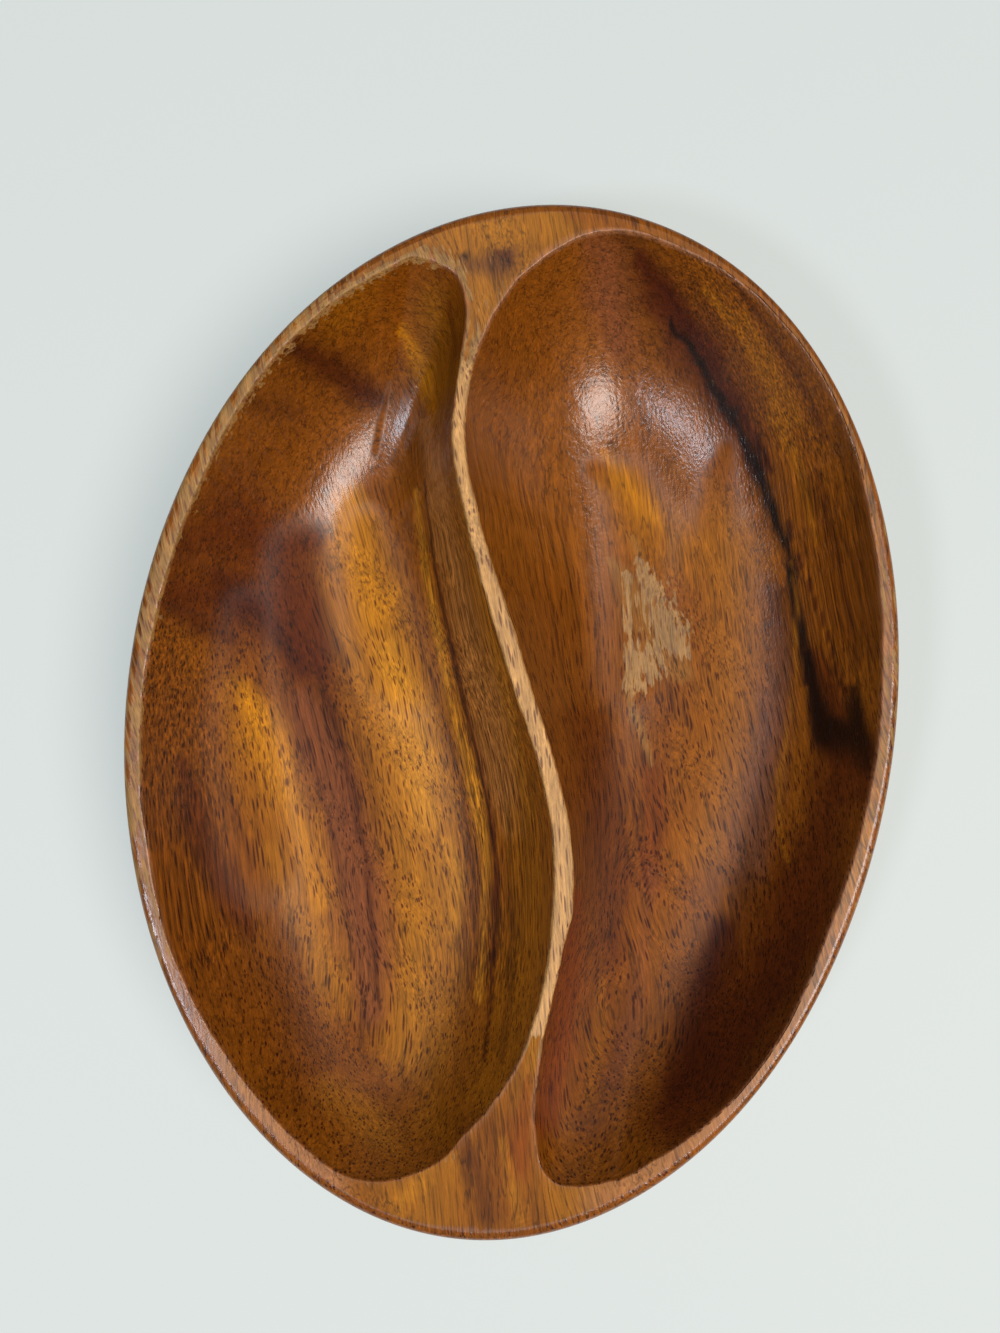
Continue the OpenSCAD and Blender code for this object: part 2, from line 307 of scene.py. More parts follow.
# Each streak: its tone, how fully it covers, how soft its sides are, and (x, y, half width) in mm
LEFT_WELL_STREAKS = [
    ("chestnut", 0.9, 1.0, [(-51, 128, 11.6), (-42, 109, 14.6), (-68, 105, 11.6)]),
    ("amber", 0.3, 1.0, [(-78, 113, 4.1), (-65, 118, 6.4), (-68, 107, 5.2)]),
    ("umber", 0.9, 1.0, [(-88, 103, 4.1), (-76, 98, 7), (-63, 92, 8.2), (-52, 89, 4.7)]),
    ("espresso", 0.7, 1.0, [(-80, 100, 2), (-68, 95, 3.8), (-59, 90, 4.4), (-52, 87, 2.3)]),
    ("olive", 0.8, 1.0, [(-40, 118, 4.7), (-35, 101, 4.1), (-31, 87, 2.9)]),
    ("golden", 0.5, 1.0, [(-46, 109, 1.5), (-41, 98, 3.2), (-35, 86, 2)]),
    ("espresso", 0.55, 0.6, [(-35.2, 119, 0.6), (-31.2, 104.8, 0.9), (-30.5, 90.2, 0.7),
        (-30, 78.5, 0.6)]),
    ("chestnut", 0.8, 1.0, [(-73, 81, 8.7), (-79, 67, 9.9), (-89, 58, 7.6)]),
    ("umber", 0.7, 1.0, [(-90, 83, 3.5), (-82, 81, 4.7), (-73, 80, 2.3)]),
    ("mahogany", 0.9, 1.0, [(-102, 37, 6.4), (-89, 45, 11.6), (-71, 42, 8.7), (-62, 45, 3.5)]),
    ("mahogany", 0.95, 1.0, [(-102, 24, 6.4), (-87, 23, 10.5), (-68, 26, 9.9), (-58, 10, 7.6)]),
    ("mahogany", 0.7, 1.0, [(-76, 37, 4.1), (-66, 23, 7.6), (-61, 8, 7), (-54, -6, 4.7)]),
    ("espresso", 0.6, 0.9, [(-91, 30, 2.6), (-81, 23, 4.7), (-68, 14, 4.1), (-63, 6, 2.3)]),
    ("espresso", 0.55, 0.9, [(-104, 21, 2.3), (-95, 16, 3.5), (-84, 12, 1.7)]),
    ("chestnut", 0.8, 1.0, [(-106, 3, 5.8), (-101, -26, 6.4), (-92, -54, 6.4)]),
    ("chestnut", 0.5, 1.0, [(-94, -4, 4.1), (-89, -24, 5.2), (-80, -46, 4.1)]),
    ("amber", 0.9, 1.0, [(-80, -2, 4.1), (-69, -24, 7.9), (-55, -46, 8.2), (-44, -68, 6.4),
        (-36, -87, 5.2)]),
    ("golden", 0.6, 1.0, [(-77, -1, 2.3), (-70, -15, 5.8), (-62, -29, 4.1)]),
    ("golden", 0.6, 0.9, [(-75, -4, 1.5), (-64, -23, 3.5), (-54, -43, 3.8), (-46, -60, 2.6)]),
    ("caramel", 0.5, 0.9, [(-64, -47, 2.3), (-55, -60, 3.5), (-41, -82, 3.8)]),
    ("mahogany", 0.8, 0.8, [(-93, -25, 1.7), (-86, -41, 4.1), (-76, -58, 4.1), (-67, -71, 2.3)]),
    ("espresso", 0.5, 0.7, [(-93.6, -32.1, 0.9), (-89, -45, 2), (-81, -58, 1.7), (-73.4, -70.4, 0.9)]),
    ("espresso", 0.4, 0.6, [(-81, -25.8, 0.7), (-74.9, -39.7, 1.2), (-67.7, -52.8, 0.9)]),
    ("chestnut", 0.85, 1.0, [(-82, -76, 6.4), (-65, -91, 9.9), (-46, -112, 9.9)]),
    ("umber", 0.5, 0.9, [(-69, -71, 2.3), (-57, -86, 3.5), (-44, -100, 2.3)]),
    ("caramel", 0.9, 0.8, [(-55, 60, 2.3), (-52, 49, 6.4), (-47, 33, 8.7), (-40, 15, 9.9),
        (-31, -7, 11.1), (-22, -29, 11.1), (-18, -49, 9.9), (-16, -72, 9.9), (-15, -96, 8.7)]),
    ("golden", 0.45, 0.9, [(-57, 57, 2.9), (-53, 43, 4.7), (-44, 25, 4.1), (-39, 33, 1.7)]),
    ("honey", 0.9, 0.9, [(-38, 16, 3.5), (-32, 2, 4.7), (-25, -15, 4.7), (-20, -32, 2.9)]),
    ("honey", 0.6, 0.9, [(-13, -37, 1.7), (-9, -49, 2.6), (-8, -62, 1.7)]),
    ("umber", 0.7, 0.8, [(-57, 1, 3.5), (-51, -13, 4.4), (-45, -27, 4.1), (-41, -38, 2.9)]),
    # Purplish brown band, partly wood and partly a painted sheen of the room's light
    ("plum_and_sheen", 0.8, 0.8, [(-61, -2, 2.9), (-50, -21, 5.8), (-40, -44, 7.3), (-33, -66, 7),
        (-28, -89, 4.4)]),
    ("espresso", 0.55, 0.5, [(-60, 12.5, 0.6), (-50.8, -6.8, 0.9), (-42.7, -26.2, 1), (-35.8, -45.8, 1),
        (-30.2, -68.6, 0.9), (-25.5, -88.5, 0.6)]),
    ("espresso", 0.45, 0.5, [(-64.1, 0.1, 0.5), (-55.5, -19.2, 0.7), (-47.4, -38.7, 0.8),
        (-40.5, -58.3, 0.8), (-35.7, -75.2, 0.6)]),
    ("umber", 0.5, 0.6, [(-52.3, 16.5, 0.9), (-46, 0, 1.5), (-40, -17, 1.5), (-34, -33.8, 1.2)]),
    ("ashen", 1.0, 0.8, [(-37, 83, 1.7), (-32, 69, 3.2), (-26, 50, 3.8), (-18, 30, 4.7), (-9, 8, 5.2),
        (-1, -14, 4.7), (5, -31, 2.9)]),
    ("caramel", 0.45, 0.9, [(-26.2, 70.3, 0.6), (-21, 56.3, 0.9), (-13.5, 36.8, 1.2), (-5, 14, 1.5),
        (3, -8, 1.5), (9.3, -27.6, 1.2)]),
    ("amber", 0.5, 0.9, [(7, -28, 4.7), (12, -48, 5.8), (14, -71, 7.6), (13, -95, 8.2), (9, -110, 5.8)]),
    ("russet", 0.55, 0.9, [(1, -46, 2.9), (3, -70, 3.5), (2, -93, 3.5)]),
    ("espresso", 0.9, 0.5, [(-34.7, 66.1, 0.4), (-28.5, 43.4, 0.6), (-20.6, 21, 0.7), (-13.1, 1.5, 0.9),
        (-4.9, -19.1, 1), (1.7, -40.5, 0.9), (4.6, -60.6, 0.8), (6, -81, 0.6), (6.5, -98.6, 0.5)]),
    ("honey", 0.7, 0.8, [(-37.2, 62.8, 0.6), (-30, 37.4, 0.9), (-22.8, 17.8, 1.2), (-16, 0, 1.3),
        (-8, -19, 1.5), (-1, -41, 1.3), (1.1, -61.1, 1), (2.3, -81.6, 0.9)]),
    ("espresso", 0.55, 0.5, [(-37.2, 42.2, 0.3), (-29.3, 19.8, 0.4), (-20.6, 0.5, 0.5), (-12, -18.9, 0.6),
        (-5.6, -38.6, 0.6), (-1.7, -61.6, 0.5)]),
    ("umber", 0.6, 0.6, [(5.2, -40, 0.9), (9.8, -59.9, 1.2), (11.5, -80.2, 1.2), (11.1, -98, 0.9)]),
    ("amber", 0.5, 1.0, [(-9, -71, 4.1), (-7, -95, 6.4), (-7, -118, 6.4)]),
    ("caramel", 0.5, 1.0, [(-37, -114, 4.1), (-25, -121, 5.8), (-15, -128, 3.5)]),
    ("russet", 0.9, 1.0, [(-33, -131, 5.2), (-19, -135, 4.7), (-6, -131, 4.7)]),
]
RIGHT_WELL_STREAKS = [
    ("chestnut", 0.8, 1.0, [(-5, 135, 7.6), (-9, 123, 11.6), (-12, 105, 10.5)]),
    ("chestnut", 0.6, 1.0, [(-19, 112, 3.5), (-18, 98, 4.7), (-10, 81, 4.1)]),
    ("umber", 0.95, 1.0, [(14, 144, 4.7), (24, 132, 9.3), (38, 118, 11.1), (52, 101, 7.6),
        (61, 86, 3.5)]),
    # Painted reflection: a purplish haze at the top of the right well
    ("plum_and_sheen", 0.75, 1.0, [(6, 140, 4.7), (11, 126, 6.4), (16, 112, 4.1)]),
    ("russet", 0.9, 1.0, [(3, 83, 11.6), (6, 60, 11.6)]),
    ("chestnut", 0.9, 1.0, [(4, 36, 7), (11, 14, 8.7), (20, -8, 9.9), (28, -34, 9.9), (35, -59, 8.7)]),
    ("mahogany", 0.6, 1.0, [(22, 4, 4.1), (30, -19, 5.8), (37, -41, 5.8), (41, -61, 4.7)]),
    ("amber", 0.75, 1.0, [(20, 73, 3.5), (31, 62, 7), (45, 58, 8.7), (58, 56, 8.2)]),
    ("golden", 0.45, 1.0, [(16, 81, 1.5), (23, 75, 3.2), (29, 69, 3.8), (35, 63, 1.7)]),
    ("caramel", 0.35, 1.0, [(39, 80, 3.5), (49, 72, 5.2), (59, 68, 3.5)]),
    # Painted sheen: a pinkish haze of the lamps down the middle of the right well
    ("plum_and_sheen", 0.5, 1.0, [(42, 80, 6.4), (54, 61, 9.9), (60, 33, 9.9), (58, -3, 9.3), (52, -39, 7.6)]),
    ("amber", 0.6, 1.0, [(53, 61, 8.2), (60, 41, 8.7), (61, 18, 8.2), (60, -6, 7.6), (60, -29, 5.8)]),
    ("russet", 0.8, 1.0, [(55, 8, 4.7), (54, -15, 6.4), (52, -39, 5.8), (51, -60, 5.2)]),
    ("redbrown", 0.5, 1.0, [(42, -5, 2.3), (47, -22, 3.5), (48, -40, 2.9)]),
    ("mahogany", 0.95, 0.9, [(19, 138, 2.9), (28, 127, 5.2), (40, 112, 6.4), (52, 98, 5.2),
        (62, 83, 2.9)]),
    ("espresso", 0.7, 0.9, [(18, 140, 1.7), (28, 129, 4.1), (39, 116, 4.7), (52, 101, 3.5)]),
    ("blackheart", 0.95, 0.6, [(30.2, 121.9, 0.9), (40, 111, 1.7), (51, 98, 2), (61, 85, 1.7),
        (68, 71, 1.5), (74, 58, 1.3), (79, 44, 1.3), (84, 30, 1.7), (87, 19, 2.3), (91, 9, 2.9)]),
    ("espresso", 0.8, 0.6, [(25.8, 132.1, 0.7), (36.4, 119.8, 1.2), (47, 107.2, 1.2), (57, 95.4, 1),
        (65.2, 83.3, 0.9)]),
    ("chestnut", 0.9, 1.0, [(32, 143, 4.1), (46, 131, 6.4), (60, 115, 7.6), (73, 99, 6.4)]),
    ("russet", 0.7, 0.9, [(36, 140, 2.3), (51, 126, 3.8), (65, 110, 4.1), (76, 94, 3.5)]),
    ("amber", 0.6, 0.9, [(50, 127.7, 0.7), (58.3, 117.1, 1.2), (65.7, 106.4, 1.2), (71.4, 97.5, 0.9)]),
    ("amber", 0.7, 0.9, [(62.9, 99.2, 0.9), (70, 90, 1.5), (76, 77.5, 1.2), (80.7, 65, 0.9)]),
    ("amber", 0.6, 0.8, [(38.7, 132.5, 1.2), (50, 122, 1.7), (60, 109, 1.7), (68, 97, 1.5)]),
    ("espresso", 0.6, 0.6, [(41.6, 141.2, 0.6), (56, 126.7, 0.9), (69.5, 110.4, 0.9), (80.1, 94.3, 0.9)]),
    ("umber", 0.6, 0.9, [(83, 101, 2.3), (91, 81, 3.5), (97, 58, 3.5), (102, 36, 2.9)]),
    ("chestnut", 0.9, 1.0, [(82, 77, 4.7), (89, 57, 5.2), (95, 38, 4.1)]),
    ("espresso", 0.45, 0.6, [(77.6, 85.1, 0.6), (85.9, 65.7, 0.9), (92.9, 46.1, 0.9), (98.2, 29.2, 0.9)]),
    ("mahogany", 0.9, 0.9, [(85, 33, 1.7), (92, 20, 4.7), (100, 6, 7), (104, -5, 5.2)]),
    ("espresso", 0.85, 1.0, [(92, 9, 3.5), (99, 5, 5.2), (104, 4, 4.1)]),
    ("blackheart", 1.0, 0.8, [(84, 32, 1.5), (88, 19, 2.6), (92, 9, 4.1), (95, 3, 2.9)]),
    ("blackheart", 1.0, 0.8, [(93, 13, 1.7), (98, 9, 4.4), (100, 5, 3.5)]),
    ("blackheart", 1.0, 0.8, [(98, 23, 1.7), (100, 15, 3.2), (102, 9, 4.1), (104, 2, 2.6)]),
    ("espresso", 0.8, 0.5, [(71.3, 69.5, 0.4), (80.1, 53.1, 0.5), (88.2, 37.8, 0.6), (95.6, 23, 0.9)]),
    ("mahogany", 0.95, 1.0, [(96, -3, 6.4), (95, -21, 8.7), (91, -39, 9.9)]),
    ("tan", 0.45, 0.9, [(22.8, 50.8, 1.2), (32, 40, 4.1), (40, 30, 4.7), (48, 21, 2.3)]),
    ("tan", 0.6, 0.8, [(32.4, 16.3, 0.9), (36.9, 5.7, 1.2), (42.7, -6.4, 0.7)]),
    ("tan", 0.5, 0.8, [(27.5, 58.5, 0.5), (30.1, 53, 0.9), (32.9, 47.8, 1.2)]),
    ("dusky", 0.9, 0.8, [(70, 49, 2.3), (76, 29, 3.5), (76, 8, 4.4), (76, -12, 4.7), (76, -33, 4.1)]),
    ("amber", 0.6, 0.8, [(74.1, 58.1, 0.3), (78.2, 44, 0.5), (80.8, 25.9, 0.6), (80.5, 9.1, 0.6),
        (80, -5.7, 0.7), (82.3, -20.1, 0.6), (86, -29, 0.5)]),
    ("russet", 0.6, 0.8, [(84, 21.3, 1.2), (85, 1, 2), (87, -17, 2)]),
    ("umber", 0.8, 0.9, [(75, -36, 3.5), (73, -51, 4.1), (69, -66, 4.1)]),
    # The lower right wall: dark heartwood, painted darker still with the shade that the rim casts there
    ("mahogany", 1.0, 0.8, [(94, -39, 9.9), (87, -64, 14.6), (78, -85, 14), (65, -107, 8.7)]),
    ("espresso", 0.85, 1.0, [(70, -51, 3.5), (68, -68, 6.4), (67, -84, 5.8), (63, -101, 3.5)]),
    ("espresso", 0.5, 1.0, [(93, -51, 4.1), (84, -76, 7), (73, -95, 5.8)]),
    ("umber", 0.6, 0.8, [(103, -32, 1.5), (100, -50, 2.3), (93, -69, 2.3), (83, -88, 2.3)]),
    ("amber", 0.1, 0.9, [(45, -46, 2.9), (44, -67, 4.1), (43, -88, 4.7), (40, -108, 4.7)]),
    # Painted sheen: a pinkish streak low in the right well
    ("plum_and_sheen", 0.5, 0.9, [(48, -37, 2.3), (48, -57, 2.3), (47, -78, 2.6), (44, -99, 2.6)]),
    ("mahogany", 0.4, 1.0, [(39, -62, 5.2), (40, -91, 7), (40, -112, 5.2)]),
    ("redheart", 0.8, 0.9, [(25, -49, 3.5), (27, -72, 4.7), (27, -96, 3.8), (27, -116, 2.3)]),
    ("amber", 0.3, 0.9, [(36.6, -70.8, 1.2), (39, -88, 2.3), (38, -106, 1.7)]),
    ("espresso", 0.8, 0.5, [(32.5, -0.8, 0.3), (38, -14.7, 0.5), (42.9, -30.2, 0.5), (48, -47.1, 0.4)]),
    ("espresso", 0.4, 0.5, [(25.1, 9.9, 0.3), (31, -6.9, 0.4), (36.4, -23.7, 0.4), (41.7, -40.6, 0.3)]),
]
TOP_STREAKS = [
    ("caramel", 0.5, 1.0, [(-43, 136, 7), (-29, 142, 8.2), (-11, 145, 7)]),
    ("russet", 0.8, 0.9, [(-2, 150, 2.9), (5, 149, 3.5), (23, 146, 4.1), (48, 138, 4.1), (64, 127, 3.5)]),
    ("umber", 0.6, 0.7, [(1.8, 151.9, 0.9), (16.5, 151.7, 1.2), (31.7, 148.6, 1.2)]),
    ("knot", 0.85, 1.0, [(-30, 130, 1.7), (-26, 130, 2.9), (-21, 132, 3.5), (-19, 135, 2)]),
    ("blackheart", 0.9, 0.6, [(-32.6, 133.5, 0.5), (-32.1, 131.8, 0.7), (-30.4, 132.3, 0.5)]),
    ("espresso", 0.6, 0.8, [(-22.8, 134.9, 0.7), (-19.8, 134.4, 1.2), (-18.4, 132.6, 0.9)]),
    ("umber", 0.4, 0.8, [(-28, 134.1, 0.6), (-24.9, 132.8, 0.9), (-22.2, 134.4, 0.9)]),
    ("caramel", 0.5, 1.0, [(-27, 123, 5.8), (-25, 115, 4.7), (-26, 107, 2.9)]),
    # Painted sheen: the lamps reflected along the rounded outer edge at the lower left
    ("pink_wear_and_sheen", 0.75, 1.0, [(-114, -36, 3.5), (-105, -68, 3.5), (-88, -97, 4.1), (-62, -123, 4.7),
        (-33, -140, 5.2)]),
    ("russet", 0.7, 0.6, [(-123, 6.4, 1.2), (-122, -17, 1.5), (-116, -45, 1.5), (-106, -71, 1.5)]),
    ("caramel", 0.6, 0.8, [(-125.4, 29.6, 1.2), (-117, 57, 1.5), (-104, 89, 1.7), (-87, 112, 2),
        (-66, 129, 2.3)]),
    ("chestnut", 0.8, 1.0, [(7, -113, 5.8), (15, -124, 9.9), (17, -141, 11.6)]),
    ("redheart", 0.5, 1.0, [(21, -102, 1.7), (21, -114, 2.9), (21, -129, 2.9)]),
    ("umber", 0.85, 0.8, [(2, -121, 1.7), (8, -131, 3.2), (14, -143, 3.5)]),
    ("honey", 0.35, 1.0, [(15.3, -120.9, 0.9), (20, -132, 1.5), (24, -144, 1.5)]),
    ("caramel", 0.7, 0.8, [(-4.9, -129.7, 1.2), (-7, -137, 2), (-12, -144, 2)]),
    # Painted sheen along the rounded outer edge at the lower right
    ("pink_wear_and_sheen", 0.5, 1.0, [(46, -134, 4.7), (70, -116, 4.7), (89, -90, 4.7), (103, -61, 4.1),
        (110, -34, 3.5)]),
    ("umber", 0.6, 0.9, [(97, 88, 1.5), (103, 65, 2), (108, 39, 1.7), (110, 16, 1.5)]),
    # Painted sheen along the rounded outer edge at the right
    ("pink_wear_and_sheen", 0.3, 0.8, [(92.3, 99, 0.9), (100, 74, 1.5), (105, 45, 1.5), (108, 16, 1.5)]),
]

# Lines of (x, y, half width) in mm on the same plan: where the lacquer is rubbed through, where it is
# rubbed dull, and where the growth layers show as stripes
WORN = [
    [(31, 51, 2), (36, 42, 5), (42, 33, 6), (47, 28, 3)],
    [(42, 31, 4), (38, 22, 5), (36, 14, 2)],
    [(27, 47, 1.2), (29.5, 38, 2), (31, 31, 1.6)],
    [(32.5, 27, 2.6), (34, 16, 2.4)],
]
DULL = [
    [(50, 55, 12), (53, 10, 17), (46, -35, 19), (42, -75, 16), (36, -105, 12)],
    [(-68, 40, 8), (-62, 10, 13), (-42, -20, 22), (-28, -60, 24), (-26, -95, 18)],
    [(-49, 50, 5), (-46, 38, 9), (-36, 10, 14)],
    [(-80, 20, 7), (-76, -14, 11), (-66, -50, 12)],
    [(14, 76, 3), (24, 72, 7), (31, 58, 10), (36, 20, 12)],
    [(51.5, 88, 2), (50, 78, 4), (51, 56, 8)],
    [(-48.6, 92, 0.5), (-49.8, 80, 0.9), (-50, 72, 1)],
]
STRIPED = [
    [(38, 137, 9), (62, 108, 12), (80, 68, 13), (90, 30, 10)],
    [(-24, 50, 9), (-8, 10, 11), (2, -30, 12), (4, -70, 10)],
    [(-102, 5, 9), (-93, -35, 13), (-80, -75, 10)],
]

# Grain coordinates: mm across the grain, along it and through it. The growth layers dip towards one
# side, so a sloping wall cuts more of them than the floor does. Near the middle of the bowl's length
# the grain slants a little more or less, by an amount that goes with x.
x, y, z = points.T
across = x * np.cos(GRAIN_LEAN) + y * np.sin(GRAIN_LEAN)
along = y * np.cos(GRAIN_LEAN) - x * np.sin(GRAIN_LEAN)
slew = np.interp(x, [-100, -80, -35, -5, 30, 60, 95], [0.2, 0.2, 0.0, 0.04, -0.10, 0.02, 0.2])
across = across + slew * SLANT_RUN * np.tanh(y / SLANT_RUN)
through = z - HEIGHT
# In the middle of each well the grain also waves up and down, so its pores are cut short, as dots
wave = np.interp(x, [-72, -52, -20, 0, 30, 45, 72, 85], [0, 3.2, 3.2, 0.4, 0.4, 3.0, 3.0, 0])
ripple = wave * np.sin(along / 9 + 0.16 * across)
grain = np.column_stack([across + 0.45 * through, along - 0.12 * through, through * 0.9 - 0.3 * x + ripple])
grain[:, 1] *= np.interp(x, [-75, -45, 70, 90], [0.5, 1, 1, 0.6])      # longer pores on the outer walls

drawn = EYE[:2] + (points[:, :2] - EYE[:2]) * (EYE[2] - HEIGHT) / (EYE[2] - z)[:, None]
# Streaks feather along the grain, so the lines they are laid on wander a little across it
feather = 1.8 * swell(grain / (1, 12, 1), 5, 21) + 1.0 * swell(grain / (1, 10, 1), 1.8, 22)
feather = feather[:, None] * (np.cos(GRAIN_LEAN), np.sin(GRAIN_LEAN))


def streak_share(places, line, soft):
    """Share of a streak at each place. line is its (x, y, half width) points in mm."""
    least = np.full(len(places), 9.0)
    for a, b in zip(np.array(line, float), np.array(line[1:], float)):
        run = b[:2] - a[:2]
        t = np.clip((places - a[:2]) @ run / (run @ run), 0, 1)
        gap = np.linalg.norm(places - a[:2] - t[:, None] * run, axis=1) / (a[2] + t * (b[2] - a[2]))
        least = np.minimum(least, gap)
    t = np.clip((1 + soft - least) / (2 * soft), 0, 1)
    return t * t * (3 - 2 * t)


# The wood between the streaks goes from chestnut to russet in bands along the grain. On the flat top
# it goes from russet to caramel, a little darkened.
band = 0.5 + 0.5 * swell(grain / (1, 14, 1), 13, 31) + 0.25 * swell(grain / (1, 10, 1), 4, 32)
band = np.clip(band, 0, 1)[:, None]
tone = TONES["chestnut"] + (TONES["russet"] - TONES["chestnut"]) * band
for part, streaks in ((LEFT_WELL, LEFT_WELL_STREAKS), (RIGHT_WELL, RIGHT_WELL_STREAKS), (TOP, TOP_STREAKS)):
    there = np.flatnonzero(side == part)
    if part == TOP:
        tone[there] = 0.82 * (TONES["russet"] + (TONES["caramel"] - TONES["russet"]) * band[there])
    for name, strength, soft, line in streaks:
        loose = min(1, max(w for _, _, w in line) / 3)
        share = strength * streak_share(drawn[there] + loose * feather[there], line, soft)[:, None]
        tone[there] += (TONES[name] - tone[there]) * share


def keep(name, kind, values):
    """Stores values for each point of the bowl's mesh, for its material to read."""
    layer = bowl_mesh.attributes.new(name, kind, "POINT")
    layer.data.foreach_set({"FLOAT": "value", "FLOAT_VECTOR": "vector", "FLOAT_COLOR": "color"}[kind],
                           np.ascontiguousarray(values, np.float32).ravel())


# Degrees round the bowl from +Y towards +X, for the tables of (degrees, values) below
round_rim = np.degrees(np.arctan2(x / HALF[0], y / HALF[1])) % 360

# Where the surface runs along the growth layers, they show as fine stripes
stripe = 0.25 + 0.75 * np.max([streak_share(drawn, line, 0.5) for line in STRIPED], axis=0)
stripe = np.where(side == TOP, np.interp(round_rim, [40, 58, 110, 125], [0.12, 0.9, 0.9, 0.12]), stripe)

# Spoons have rubbed the low part of both wells dull, and the flat top was left less glossy
dull = np.where(side == OUTER, 0, np.max([streak_share(drawn, line, 0.9) for line in DULL], axis=0))
dull = np.where(side == TOP, np.interp(round_rim, [0, 60, 130, 155, 195, 225, 300, 360],
                                       [0.9, 0.4, 0.4, 1, 1, 0.1, 0.3, 0.9]), dull)
# The pores show least in the upper part of the wells
open_pores = np.where(side == TOP, 0.45, np.interp(y, [10, 70], [1.05, 0.4]))

# Bare wood: the clear coat is rubbed off the divider, the edges of the wells and part of the rim
on_divider = streak_share(points[:, :2], [(*p, 4.5) for p in DIVIDER_LINE], 0.3)
by_divider = streak_share(points[:, :2], [(*p, 13) for p in knots[1:-1]], 0.1) > 0.5
worn_rim = np.interp(round_rim, [0, 45, 62, 80, 108, 120, 200, 235, 255, 285, 300, 325, 340, 350, 360],
                     [0.0, 0.0, 0.24, 0.30, 0.28, 0.1, 0.1, 0.3, 0.65, 0.8, 0.95, 1.0, 0.7, 0.1, 0.0])
worn_edge = np.where(
    by_divider, np.interp(y, [-128, -105, -80, 85, 110, 130], [0.1, 0.4, 0.8, 0.8, 0.5, 0.3]),
    np.interp(round_rim, [0, 20, 50, 62, 108, 125, 180, 235, 260, 300, 345, 360],
              [0.5, 0.5, 0.3, 0.35, 0.35, 0.1, 0.05, 0.2, 0.6, 0.8, 0.6, 0.5]))
worn_width = np.interp(round_rim, [0, 60, 110, 130, 250, 290, 315, 335, 350],
                       [2.5, 5, 5, 2.5, 3.5, 6, 9, 8, 4])
inner = np.clip(1 - edge_gap / worn_width, 0, 1)
bare = np.where(side == TOP, np.maximum(on_divider, worn_rim * np.clip(inner * 1.8, 0, 1)), 0)
# On the left and right the rubbing reaches over the rounded outer edge, in patches
patchy = np.interp(round_rim, [50, 65, 85, 108, 120, 225, 245, 320, 335],
                   [0, 0.4, 0.42, 0.3, 0, 0, 0.5, 0.62, 0])
patchy = patchy + 0.12 * swell(points, 11, 41)
by_rim = ((side == TOP) & (edge_gap < 12)) | ((side == OUTER) & (z > HEIGHT - 1.6))
bare = np.maximum(bare, np.where(by_rim & ~by_divider & (patchy > 0.2), patchy, 0))
at_edge = np.flatnonzero((edge_gap < 0.05) & (depth == 0))
bare[at_edge] = np.maximum(bare[at_edge], np.where(worn_edge > 0.55, worn_edge, 0)[at_edge])
worn_patch = np.max([streak_share(drawn + 0.6 * feather, line, 0.8) for line in WORN], axis=0)
bare = np.maximum(bare, np.where(side == RIGHT_WELL, 0.76 * worn_patch, 0))
# At the upper left the bare wood spills a little way down the well's wall, with a ragged edge
spill = np.clip(1 - edge_gap / 2.2, 0, 1)
spill = spill * np.interp(round_rim, [225, 290, 300, 335, 345], [0, 0.4, 0.9, 0.9, 0])
bare = np.maximum(bare, np.where((side == LEFT_WELL) & ~by_divider, 0.8 * spill, 0))
# Where an edge is only rubbed thin, the wood shows through as a pinkish line
tone[at_edge] += (TONES["pink_wear_and_sheen"] - tone[at_edge]) * worn_edge[at_edge, None]

keep("tone", "FLOAT_COLOR", np.column_stack([tone, np.ones(len(tone))]))
keep("grain", "FLOAT_VECTOR", grain)
keep("bare", "FLOAT", bare)
keep("stripe", "FLOAT", stripe)
keep("dull", "FLOAT", dull)
keep("open", "FLOAT", open_pores)
keep("bare_tone", "FLOAT_COLOR", np.column_stack([
    TONES["tan"] + (TONES["sand"] - TONES["tan"]) * on_divider[:, None], np.ones(len(tone))]))

# ------------------------------------------------------------------ carved bowl: lacquered hardwood
# Tropical hardwood with large open pores, sanded, and brushed with a clear satin lacquer that has
# sunk into them. It gives deep colour under soft highlights, which the pores and a fine orange peel
# break up. Where use has rubbed it off, the wood is pale, dry and dull.


def add(tree, kind, inputs=None, **settings):
    """Adds a node with its settings. An input is a value, an output, or a node for its first output."""
    node = tree.nodes.new(kind)
    for name, value in settings.items():
        setattr(node, name, value)
    for name, value in (inputs or {}).items():
        if isinstance(value, bpy.types.Node):
            value = value.outputs[0]
        if isinstance(value, bpy.types.NodeSocket):
            tree.links.new(value, node.inputs[name])
        else:
            node.inputs[name].default_value = value
    return node


wood = bpy.data.materials.new("lacquered_hardwood")
wood.use_nodes = True
t = wood.node_tree
t.nodes.clear()

tone_in, bare_tone_in = (
    add(t, "ShaderNodeAttribute", attribute_name=name).outputs["Color"] for name in ("tone", "bare_tone"))
bare_in, stripe_in, dull_in, open_in = (
    add(t, "ShaderNodeAttribute", attribute_name=name).outputs["Fac"]
    for name in ("bare", "stripe", "dull", "open"))
grain_in = add(t, "ShaderNodeAttribute", attribute_name="grain").outputs["Vector"]

